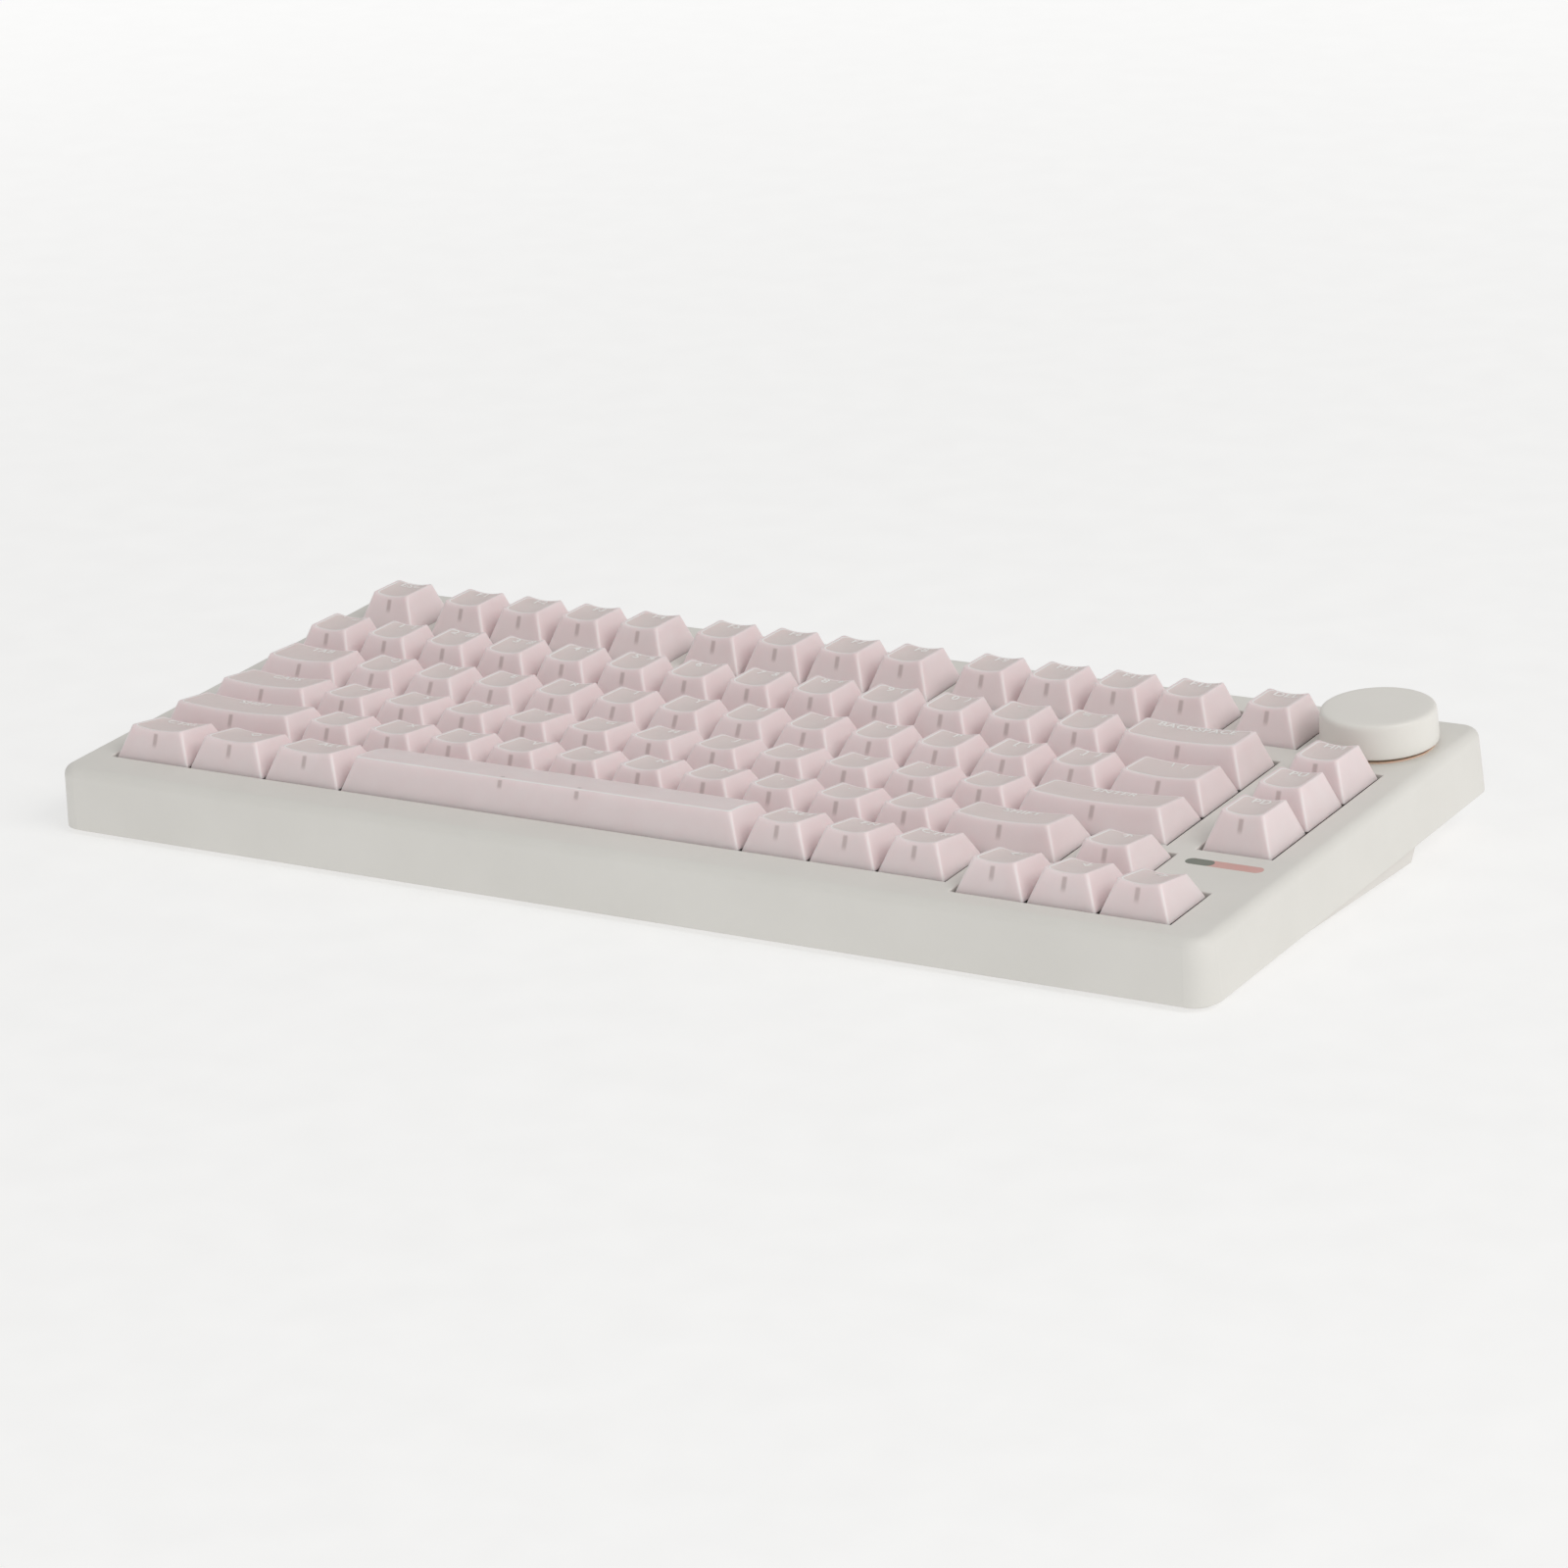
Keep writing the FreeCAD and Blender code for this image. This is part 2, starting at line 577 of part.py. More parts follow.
def knob():
    """Plain turned knob, hollow underneath, with a hub on the shaft."""
    half_profile = [(3.0, 8.0), (3.0, 2.2), (5.5, 2.2), (5.5, 7.4), (12.4, 7.4), (12.4, KNOB_FOOT),
                    (14.1, KNOB_FOOT), (14.6, KNOB_FOOT + 0.7), (14.25, KNOB_TOP - 0.6), (13.7, KNOB_TOP),
                    (0, KNOB_TOP), (0, 8.0)]
    ring = [V(r, 0, z) for r, z in half_profile]
    body = Part.Face(Part.makePolygon(ring + ring[:1])).revolve(V(0, 0, 0), V(0, 0, 1), 360)
    return moved(body, KNOB_X, KNOB_Y)


def knob_ring():
    return rod(KNOB_X, KNOB_Y, CASE_TOP, CASE_TOP + 0.35, 13.6).cut(rod(KNOB_X, KNOB_Y, 0, 2, 11.5))


# ---------------------------------------------------------------- status light
def pill_dark():
    left = PILL_X - PILL_LENGTH / 2
    return pill_block(left, left + PILL_DARK, CASE_TOP - PILL_DEPTH, CASE_TOP)


def pill_light():
    left = PILL_X - PILL_LENGTH / 2
    bar = pill_block(left, left + PILL_LENGTH, CASE_TOP - PILL_DEPTH, CASE_TOP)
    return bar.cut(pill_block(left, left + PILL_DARK, -1, 2)).cut(block(left - 1, left + 3, -99, -80, -1, 2))


# ---------------------------------------------------------------- all nodes, placed and written
KEY_FRAME_NODES = {
    "top_case": top_case,
    "case_screws": screws,
    "switch_plate": switch_plate,
    "circuit_board": circuit_board,
    "plate_foam": plate_foam,
    "switch_housings": switch_housings,
    "switch_sockets": switch_sockets,
    "stabilisers": stabilisers,
    "gasket_strips": gasket_strips,
    "socket_board": socket_board,
    "port_shell": port_shell,
    "port_tongue": port_tongue,
    "encoder_body": encoder_body,
    "encoder_plunger": encoder_plunger,
    "knob_shaft": knob_shaft,
    "knob": knob,
    "knob_ring": knob_ring,
    "pill_dark": pill_dark,
    "pill_light": pill_light,
}

nodes = {name: turn_to_desk(make()) for name, make in KEY_FRAME_NODES.items()}
for name in KEYS:
    nodes[name] = turn_to_desk(key_node(name))
nodes["bottom_case"] = bottom_case().cut(flip_bores(0))
nodes["front_feet"] = front_feet()
nodes["rear_feet"] = rear_feet()
nodes["flip_foot_left"] = flip_foot(FLIP_FEET[0]).cut(flip_bores(0.05))
nodes["flip_foot_right"] = flip_foot(FLIP_FEET[1]).cut(flip_bores(0.05))
nodes["flip_pins"] = flip_pins()

whole = Part.makeCompound(list(nodes.values())).optimalBoundingBox(False, False)
shift = V(-(whole.XMin + whole.XMax) / 2, -(whole.YMin + whole.YMax) / 2, -whole.ZMin)
for name, shape in nodes.items():
    shape.translate(shift)
    shape.exportStep("parts/" + name + ".step")
print("nodes", len(nodes), "shift", tuple(shift), "size", whole.XLength, whole.YLength, whole.ZLength)
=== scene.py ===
"""Looks of a compact mechanical keyboard with a knob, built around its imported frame.

Pieces are drawn in the key frame: X to the right from the left edge of the main key block, Y towards the
back and Z square to the key tops, with Z = 0 at the nominal plane of the keycaps' skirts. KEY_TO_ROW places
them. Lengths are in metres.
"""
import json
import math

import bmesh
import bpy
from mathutils import Matrix, Vector


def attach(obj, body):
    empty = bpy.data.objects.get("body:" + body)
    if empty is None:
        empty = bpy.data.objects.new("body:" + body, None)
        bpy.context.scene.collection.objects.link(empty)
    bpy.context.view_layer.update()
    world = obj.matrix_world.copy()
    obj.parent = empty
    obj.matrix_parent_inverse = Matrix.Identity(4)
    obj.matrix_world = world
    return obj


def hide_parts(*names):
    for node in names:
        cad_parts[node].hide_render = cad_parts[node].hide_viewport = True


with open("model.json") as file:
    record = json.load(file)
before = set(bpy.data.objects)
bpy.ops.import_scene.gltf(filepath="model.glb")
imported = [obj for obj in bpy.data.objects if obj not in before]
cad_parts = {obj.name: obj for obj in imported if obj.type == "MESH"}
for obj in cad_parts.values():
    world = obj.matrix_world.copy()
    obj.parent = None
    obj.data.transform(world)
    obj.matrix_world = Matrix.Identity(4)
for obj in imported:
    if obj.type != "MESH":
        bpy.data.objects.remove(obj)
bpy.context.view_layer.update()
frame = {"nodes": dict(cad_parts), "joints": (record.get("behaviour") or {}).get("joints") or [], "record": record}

# ---------------------------------------------------------------- driving dimensions
MM = 0.001
PITCH = 19.05 * MM
CAP_GAP = 0.95 * MM
CAP_WALL = 1.3 * MM
CAP_ROOF = 1.5 * MM
DISH = 0.9 * MM
CROWN = 0.5 * MM            # the space bar bulges instead of dishing
SKIRT_RADIUS = 0.6 * MM     # plan radius of a cap's corners at the skirt
SKIRT_CHAMFER = 0.15 * MM
SKIRT_DROP = 0.3 * MM       # the skirts hang this far below the nominal plane
TOP_RADIUS = 1.1 * MM       # plan radius of the corners round a key top
EDGE_RADIUS = 0.35 * MM     # of the rounded edge between flank and top
RIM_INSET = 0.82 * MM       # fine ridge round every key top
RIM_HEIGHT = 0.05 * MM
RIM_RADIUS = 1.3 * MM
INNER_SKIRT_RADIUS = 0.7 * SKIRT_RADIUS
INNER_TOP_RADIUS = 0.6 * TOP_RADIUS
CEILING_INSET = 0.9 * CAP_WALL
SPACE_RIM_INSET = 0.65 * MM
SPACE_RIB = 11.4            # the space bar's two ribs stand this far from its middle, in mm
SPACE_RIB_STRETCH = 1.6     # the painted shadows of its ribs are shorter than that of a one-unit key by this factor
SPACE_TOP_SHADE = 0.25          # the space bar's top takes only this share of the painted shade that greys the other key tops
CORNER_HIGHLIGHT_SHARE = 0.4           # share of the ridge's painted highlight that is also painted on the corners of the flanks

# rings of a cap's skin: share of the way up the flank, (angle round the edge, part), (mm from the ridge,
# part), and share of the way from the ridge to the middle of the top
FLANK_STEPS = (0.02, 0.25, 0.5, 0.75)
EDGE_STEPS = ((20, "edge"), (50, "edge"), (70, "crest"), (90, "crest"))
RIM_STEPS = ((-0.22, "crest"), (-0.12, "ridge"), (0.12, "ridge"), (0.22, "panel"))
PANEL_STEPS = (0.2, 0.4, 0.6, 0.8, 1.0)
INNER_WALL_STEPS = (0.03, 0.5, 0.95)
CEILING_STEPS = (0.1, 0.5, 1.0)

KNOB_CENTRE = (15.95 * PITCH, -0.25 * PITCH)
KNOB_HEIGHT = 6 * MM        # where the knob's hinge is stated

# top width of a one-unit cap, front inset, back inset, height of front edge, height of back edge
PROFILES = {
    "upper": (11.5, 3.9, 1.8, 9.3, 8.9),
    "second": (11.4, 4.15, 1.5, 7.65, 6.8),
    "third": (11.8, 3.5, 1.3, 7.7, 5.7),
    "fourth": (11.8, 3.3, 2.1, 8.0, 6.1),
    "bottom": (11.7, 3.25, 1.65, 8.25, 5.9),
}

# row name: (back edge in units, profile)
ROWS = {
    "f": (0.25, "upper"),
    "number": (-1.25, "upper"),
    "q": (-2.25, "second"),
    "a": (-3.25, "third"),
    "z": (-4.25, "fourth"),
    "space": (-5.25, "bottom"),
    "up": (-4.5, "fourth"),
    "arrow": (-5.5, "bottom"),
    "page_down": (-3.25, "upper"),
    "page_up": (-2.25, "upper"),
}

# CAD node: (row, left edge in units, width in units, legends from left to right)
KEYS = {
    "key_escape": ("f", 0, 1, ["ESC"]),
    "keys_f1_f4": ("f", 1.25, 1, ["F1", "F2", "F3", "F4"]),
    "keys_f5_f8": ("f", 5.5, 1, ["F5", "F6", "F7", "F8"]),
    "keys_f9_f12": ("f", 9.75, 1, ["F9", "F10", "F11", "F12"]),
    "key_delete": ("f", 14, 1, ["DEL"]),
    "keys_number_left": ("number", 0, 1, ["`  ~", "1  !", "2  @", "3  #", "4  $", "5  %"]),
    "keys_number_right": ("number", 6, 1, ["6  ^", "7  &", "8  *", "9  (", "0  )", "-  _", "=  +"]),
    "key_backspace": ("number", 13, 2, ["BACKSPACE"]),
    "key_tab": ("q", 0, 1.5, ["TAB"]),
    "keys_q_left": ("q", 1.5, 1, list("QWERT")),
    "keys_q_right": ("q", 6.5, 1, ["Y", "U", "I", "O", "P", "[  {", "]  }"]),
    "key_backslash": ("q", 13.5, 1.5, ["\\  |"]),
    "key_caps": ("a", 0, 1.75, ["CAPS"]),
    "keys_a_left": ("a", 1.75, 1, list("ASDFG")),
    "keys_a_right": ("a", 6.75, 1, ["H", "J", "K", "L", ";  :", "'  \""]),
    "key_enter": ("a", 12.75, 2.25, ["ENTER"]),
    "key_shift_left": ("z", 0, 2.25, ["SHIFT"]),
    "keys_z_left": ("z", 2.25, 1, list("ZXCVB")),
    "keys_z_right": ("z", 7.25, 1, ["N", "M", ",  <", ".  >", "/  ?"]),
    "key_shift_right": ("z", 12.25, 1.75, ["SHIFT"]),
    "key_control_left": ("space", 0, 1.25, ["CTRL"]),
    "key_system": ("space", 1.25, 1.25, ["<diamond>"]),
    "key_alt_left": ("space", 2.5, 1.25, ["ALT"]),
    "key_space": ("space", 3.75, 6.25, [""]),
    "key_alt_right": ("space", 10, 1, ["ALT"]),
    "key_function": ("space", 11, 1, ["FN"]),
    "key_control_right": ("space", 12, 1, ["CTRL"]),
    "key_up": ("up", 14.25, 1, ["<up>"]),
    "key_left": ("arrow", 13.25, 1, ["<left>"]),
    "key_down": ("arrow", 14.25, 1, ["<down>"]),
    "key_right": ("arrow", 15.25, 1, ["<right>"]),
    "key_home": ("number", 15.45, 1, ["HM"]),
    "key_page_up": ("page_up", 15.45, 1, ["PU"]),
    "key_page_down": ("page_down", 15.45, 1, ["PD"]),
}

BODY_OF = {node: body for body, nodes in frame["record"]["behaviour"]["bodies"].items() for node in nodes}


def key_frame():
    """Matrix from the key frame to the row frame, read from the knob's hinge."""
    hinge = next(joint for joint in frame["joints"] if joint["name"] == "knob_turn")
    normal = Vector(hinge["axis"])
    turn = Matrix.Rotation(math.atan2(-normal.y, normal.z), 4, "X")
    hinge_place = Vector((KNOB_CENTRE[0], KNOB_CENTRE[1], KNOB_HEIGHT))
    return Matrix.Translation(Vector(hinge["pos_m"]) - turn @ hinge_place) @ turn


KEY_TO_ROW = key_frame()


# ---------------------------------------------------------------- materials
class Shader:
    """A Principled material and short calls for the nodes that feed it."""

    def __init__(self, name):
        self.material = bpy.data.materials.new(name)
        self.material.use_nodes = True
        self.nodes = self.material.node_tree.nodes
        self.links = self.material.node_tree.links
        self.surface = self.nodes["Principled BSDF"]

    def put(self, socket, value):
        """Links a node's output, or sets a plain value."""
        if isinstance(value, bpy.types.NodeSocket):
            self.links.new(value, socket)
        else:
            socket.default_value = value

    def set(self, **values):
        for name, value in values.items():
            self.put(self.surface.inputs[name.replace("_", " ")], value)

    def node(self, kind, settings=(), **inputs):
        node = self.nodes.new(kind)
        for name, value in settings:
            setattr(node, name, value)
        for name, value in inputs.items():
            self.put(node.inputs[name.replace("_", " ")], value)
        return node

    def position(self):
        """Object coordinates, which are metres in the row frame."""
        return self.node("ShaderNodeTexCoord").outputs["Object"]

    def noise(self, scale, detail=3, roughness=0.5):
        return self.node("ShaderNodeTexNoise", Vector=self.position(), Scale=scale, Detail=detail,
                         Roughness=roughness).outputs["Fac"]

    def grains(self, scale):
        return self.node("ShaderNodeTexVoronoi", Vector=self.position(), Scale=scale).outputs["Distance"]

    def spread(self, value, low, high, out_low=0.0, out_high=1.0, smooth=False):
        kind = "SMOOTHSTEP" if smooth else "LINEAR"
        node = self.node("ShaderNodeMapRange", [("interpolation_type", kind)])
        for slot, number in zip(("Value", "From Min", "From Max", "To Min", "To Max"),
                                (value, low, high, out_low, out_high)):
            self.put(node.inputs[slot], number)
        return node.outputs["Result"]

    def math(self, operation, first, second=0.0):
        node = self.node("ShaderNodeMath", [("operation", operation)])
        self.put(node.inputs[0], first)
        self.put(node.inputs[1], second)
        return node.outputs[0]

    def mix(self, factor, first, second):
        node = self.node("ShaderNodeMix", [("data_type", "RGBA")])
        self.put(node.inputs[0], factor)
        self.put(node.inputs[6], first)
        self.put(node.inputs[7], second)
        return node.outputs[2]

    def bump(self, height, strength, distance, under=None):
        node = self.node("ShaderNodeBump", Height=height, Strength=strength, Distance=distance)
        if under is not None:
            self.put(node.inputs["Normal"], under)
        self.set(Normal=node.outputs["Normal"])
        return node.outputs["Normal"]


def moulded_plastic(name, light, dark, roughness=0.5, grain=0.35):
    """Opaque moulded plastic: a fine spark-eroded grain, faint mottling and slow flow marks."""
    shader = Shader(name)
    mottle = shader.spread(shader.noise(35, 5), 0.35, 0.65)
    shader.set(Base_Color=shader.mix(mottle, dark, light))
    polish = shader.noise(260, 3)
    shader.set(Roughness=shader.spread(polish, 0.3, 0.7, roughness - 0.06, roughness + 0.06))
    slow = shader.bump(shader.noise(90, 2), 0.05, 0.4 * MM)
    shader.bump(shader.grains(3600), grain, 0.02 * MM, slow)
    shader.set(Specular_IOR_Level=0.45)
    return shader.material


def frosted_cap():
    """Cloudy pink plastic: light soaks in, a painted shadow of the inner rib shows as a soft dark bar, and painted
    highlights make the ridge and the corners of the flanks pale.

    Reads three attributes of a cap's mesh: cap_place (mm from the rib, mm from the middle, mm below the
    top's edge), cap_painted_highlight (strength of the painted highlight) and cap_top_shade (share of the painted
    shade on the top).
    """
    shader = Shader("keycap_frosted_pink")
    place = shader.node("ShaderNodeAttribute", [("attribute_name", "cap_place")]).outputs["Vector"]
    parts = shader.node("ShaderNodeSeparateXYZ", Vector=place).outputs
    # painted shade: a soft dark bar just below the top edge on the front of each cap, standing for the shadow of
    # the inner rib seen through the plastic
    across = shader.spread(shader.math("ABSOLUTE", parts["X"]), 0.25, 0.95, 1.0, 0.0, True)
    upper = shader.spread(parts["Z"], 0.4, 1.0, 0.0, 1.0, True)
    lower = shader.spread(parts["Z"], 2.8, 4.4, 1.0, 0.0, True)
    front = shader.math("LESS_THAN", parts["Y"], 0.0)
    beside = shader.math("MULTIPLY", across, upper)
    rib = shader.math("MULTIPLY", beside, shader.math("MULTIPLY", lower, front))
    painted_highlight = shader.node("ShaderNodeAttribute", [("attribute_name", "cap_painted_highlight")]).outputs["Fac"]
    cloud = shader.spread(shader.noise(120, 4), 0.3, 0.7)
    flank = shader.mix(cloud, (0.90, 0.755, 0.762, 1), (0.925, 0.79, 0.797, 1))
    # painted shade: the top is a greyer, darker copy of the flank colour
    top = shader.mix(cloud, (0.79, 0.68, 0.665, 1), (0.82, 0.71, 0.695, 1))
    panel = shader.node("ShaderNodeAttribute", [("attribute_name", "cap_top_shade")]).outputs["Fac"]
    body = shader.mix(panel, flank, top)
    with_rib_shadow = shader.mix(shader.math("MULTIPLY", rib, 0.55), body, (0.42, 0.35, 0.34, 1))
    # painted highlight: the ridge, the space bar's crest and the corners of the flanks are mixed towards near
    # white
    shader.set(Base_Color=shader.mix(shader.math("MULTIPLY", painted_highlight, 0.85), with_rib_shadow, (0.98, 0.95, 0.94, 1)))
    shader.set(Roughness=shader.spread(shader.noise(700, 2), 0.3, 0.7, 0.34, 0.42))
    shader.set(Subsurface_Weight=0.6, Subsurface_Radius=(1.0, 0.85, 0.88), Subsurface_Scale=2.2 * MM)
    shader.bump(shader.noise(2600, 2), 0.25, 0.02 * MM)
    return shader.material


def legend_ink():
    """Nearly white lettering, slightly uneven."""
    shader = Shader("legend_pale")
    wear = shader.spread(shader.noise(900, 3), 0.3, 0.7)
    shader.set(Base_Color=shader.mix(wear, (0.97, 0.94, 0.93, 1), (0.99, 0.97, 0.96, 1)))
    shader.set(Roughness=shader.spread(wear, 0, 1, 0.35, 0.45))
    return shader.material


def soft_rubber():
    """Dark matt rubber with patches of dust."""
    shader = Shader("pad_rubber")
    dust = shader.spread(shader.noise(140, 6), 0.45, 0.75)
    shader.set(Base_Color=shader.mix(dust, (0.030, 0.030, 0.031, 1), (0.075, 0.073, 0.070, 1)))
    shader.set(Roughness=shader.spread(dust, 0, 1, 0.72, 0.88))
    shader.bump(shader.noise(1500, 4), 0.5, 0.06 * MM)
    return shader.material


def brushed_metal(name, light, dark, roughness=0.32):
    """Metal with fine streaks that run along X."""
    shader = Shader(name)
    streaks = shader.node("ShaderNodeMapping", Vector=shader.position(), Scale=(300, 6000, 6000)).outputs[0]
    lines = shader.node("ShaderNodeTexNoise", Vector=streaks, Scale=1.0, Detail=3.0).outputs["Fac"]
    shader.set(Base_Color=shader.mix(lines, dark, light), Metallic=1.0)
    shader.set(Roughness=shader.spread(lines, 0.3, 0.7, roughness - 0.08, roughness + 0.1))
    shader.bump(lines, 0.15, 0.01 * MM)
    return shader.material


def painted_metal():
    """Dark paint with fine flakes."""
    shader = Shader("plate_paint")
    flakes = shader.noise(2200, 2)
    shader.set(Base_Color=shader.mix(shader.spread(flakes, 0.4, 0.6), (0.018, 0.016, 0.016, 1),
                                     (0.040, 0.036, 0.035, 1)))
    shader.set(Roughness=shader.spread(flakes, 0.3, 0.7, 0.45, 0.6))
    shader.bump(flakes, 0.3, 0.02 * MM)
    return shader.material


def solder_mask():
    """Dark green lacquer over a woven board."""
    shader = Shader("board_mask")
    weave = shader.node("ShaderNodeTexBrick", [("offset", 0.5)], Vector=shader.position(), Scale=400.0,
                        Color1=(0.012, 0.045, 0.032, 1), Color2=(0.016, 0.055, 0.038, 1),
                        Mortar=(0.01, 0.035, 0.026, 1)).outputs["Color"]
    shader.set(Base_Color=weave, Roughness=shader.spread(shader.noise(500), 0.3, 0.7, 0.25, 0.4))
    shader.bump(shader.noise(900, 3), 0.2, 0.02 * MM)
    return shader.material


def open_foam():
    """Black foam with open cells."""
    shader = Shader("foam_cells")
    cells = shader.grains(1800)
    shader.set(Base_Color=shader.mix(shader.spread(cells, 0.0, 0.6), (0.012, 0.012, 0.013, 1),
                                     (0.05, 0.05, 0.052, 1)))
    shader.set(Roughness=shader.spread(cells, 0, 1, 0.85, 0.98))
    shader.bump(cells, 0.8, 0.2 * MM)
    return shader.material


def window_plastic(name, light, dark):
    """Smooth tinted window over a diffuser, slightly uneven inside."""
    shader = Shader(name)
    inside = shader.spread(shader.noise(420, 4), 0.3, 0.7)
    shader.set(Base_Color=shader.mix(inside, dark, light), Roughness=shader.spread(inside, 0, 1, 0.28, 0.36))
    shader.set(Subsurface_Weight=0.2, Subsurface_Scale=0.5 * MM, Coat_Weight=0.15)
    shader.bump(shader.noise(800, 2), 0.08, 0.02 * MM)
    return shader.material


def floor_paper():
    """Matt pale paper that glows, with a painted pool of shade: its glow is weaker near the object and brightens
    away from it towards an even white.
    """
    shader = Shader("studio_floor")
    fibre = shader.spread(shader.noise(60, 4), 0.3, 0.7)
    shader.set(Base_Color=shader.mix(fibre, (0.50, 0.50, 0.495, 1), (0.53, 0.53, 0.525, 1)))
    length = shader.node("ShaderNodeVectorMath", [("operation", "LENGTH")], Vector=shader.position())
    # painted shade: the floor's glow is weaker near the object
    glow_with_painted_shade = shader.spread(length.outputs["Value"], 0.2, 1.8, 0.50, 0.66, True)
    shader.set(Roughness=shader.spread(fibre, 0, 1, 0.85, 0.95))
    shader.set(Emission_Color=(1, 1, 1, 1), Emission_Strength=glow_with_painted_shade)
    return shader.material


CASE_LIGHT = (0.81, 0.795, 0.755, 1)
CASE_DARK = (0.78, 0.765, 0.725, 1)
MATERIALS = {
    "case_shell": moulded_plastic("case_off_white", CASE_LIGHT, CASE_DARK, 0.48),
    "case_base": moulded_plastic("case_base_white", (0.79, 0.765, 0.73, 1), (0.76, 0.735, 0.70, 1), 0.55),
    "keycap": frosted_cap(),
    "legend": legend_ink(),
    "knob_plastic": moulded_plastic("knob_cream", (0.87, 0.85, 0.805, 1), (0.845, 0.825, 0.78, 1), 0.42, 0.2),
    "screw_steel": brushed_metal("screw_zinc", (0.62, 0.62, 0.63, 1), (0.42, 0.42, 0.43, 1)),
    "plate_metal": painted_metal(),
    "board": solder_mask(),
    "foam": open_foam(),
    "switch_plastic": moulded_plastic("switch_nylon", (0.50, 0.43, 0.43, 1), (0.45, 0.39, 0.39, 1), 0.35),
    "socket_plastic": moulded_plastic("socket_black", (0.03, 0.03, 0.03, 1), (0.02, 0.02, 0.02, 1), 0.4),
    "stabiliser_plastic": moulded_plastic("stabiliser_nylon", (0.55, 0.53, 0.51, 1), (0.5, 0.48, 0.46, 1),
                                          0.4),
    "silicone": soft_rubber(),
    "port_steel": brushed_metal("port_shell_steel", (0.66, 0.66, 0.67, 1), (0.50, 0.50, 0.51, 1), 0.25),
    "port_plastic": moulded_plastic("port_tongue_black", (0.03, 0.03, 0.03, 1), (0.02, 0.02, 0.02, 1), 0.35),
    "encoder_metal": brushed_metal("encoder_steel", (0.6, 0.6, 0.6, 1), (0.45, 0.45, 0.45, 1)),
    "shaft_metal": brushed_metal("shaft_aluminium", (0.7, 0.7, 0.71, 1), (0.55, 0.55, 0.56, 1)),
    "ring_plastic": window_plastic("ring_warm", (0.84, 0.60, 0.46, 1), (0.78, 0.53, 0.40, 1)),
    "pill_grey": window_plastic("pill_grey_green", (0.20, 0.215, 0.175, 1), (0.175, 0.19, 0.155, 1)),
    "pill_pink": window_plastic("pill_dusty_pink", (0.72, 0.42, 0.38, 1), (0.68, 0.385, 0.35, 1)),
    "pad_rubber": soft_rubber(),
    "foot_plastic": moulded_plastic("foot_white", (0.80, 0.78, 0.74, 1), (0.77, 0.75, 0.715, 1), 0.5),
}


# ---------------------------------------------------------------- mesh helpers
def finish_piece(mesh, name, slot, body, smooth_angle=35):
    """Puts a key-frame mesh in the row frame, shades it, and makes it ride on a body."""
    mesh.transform(KEY_TO_ROW)
    smooth_by_angle(mesh, smooth_angle)
    piece = bpy.data.objects.new(name, mesh)
    bpy.context.scene.collection.objects.link(piece)
    mesh.materials.append(MATERIALS[slot])
    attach(piece, body)
    return piece


def smooth_by_angle(mesh, degrees):
    work = bmesh.new()
    work.from_mesh(mesh)
    for face in work.faces:
        face.smooth = True
    for edge in work.edges:
        edge.smooth = len(edge.link_faces) == 2 and edge.calc_face_angle(0) < math.radians(degrees)
    work.to_mesh(mesh)
    work.free()


def closed_mesh(name, rings):
    """Mesh of closed rings of equal length, joined in order; an end ring may shrink to a line or a point."""
    points = [point for ring in rings for point in ring]
    count = len(rings[0])
    faces = []
    for level in range(len(rings) - 1):
        for i in range(count):
            j = (i + 1) % count
            start = level * count
            faces.append((start + i, start + j, start + count + j, start + count + i))
    mesh = bpy.data.meshes.new(name)
    mesh.from_pydata(points, [], faces)
    return mesh


def merge_close(mesh):
    """Welds points that coincide and turns every face outward."""
    work = bmesh.new()
    work.from_mesh(mesh)
    bmesh.ops.remove_doubles(work, verts=work.verts, dist=0.001 * MM)
    bmesh.ops.dissolve_degenerate(work, dist=0.001 * MM, edges=work.edges)
    bmesh.ops.recalc_face_normals(work, faces=work.faces)
    work.to_mesh(mesh)
    work.free()


def rounded_ring(bounds, radius, corner_steps, x_steps, y_steps):
    """Rectangle with round corners as (x, y) points, anticlockwise from the front right corner."""
    x0, x1, y0, y1 = bounds
    corners = [(x1 - radius, y0 + radius, -90, y_steps), (x1 - radius, y1 - radius, 0, x_steps),
               (x0 + radius, y1 - radius, 90, y_steps), (x0 + radius, y0 + radius, 180, x_steps)]
    arcs = []
    for cx, cy, start, steps in corners:
        angles = [math.radians(start + 90 * i / corner_steps) for i in range(corner_steps + 1)]
        arcs.append([(cx + radius * math.cos(a), cy + radius * math.sin(a)) for a in angles])
    ring = []
    for index, arc in enumerate(arcs):
        following = arcs[(index + 1) % 4][0]
        steps = corners[index][3]
        ring += arc
        last = arc[-1]
        for i in range(1, steps):
            t = i / steps
            ring.append((last[0] + (following[0] - last[0]) * t, last[1] + (following[1] - last[1]) * t))
    return ring


def inset(bounds, distance):
    x0, x1, y0, y1 = bounds
    return (x0 + distance, x1 - distance, y0 + distance, y1 - distance)


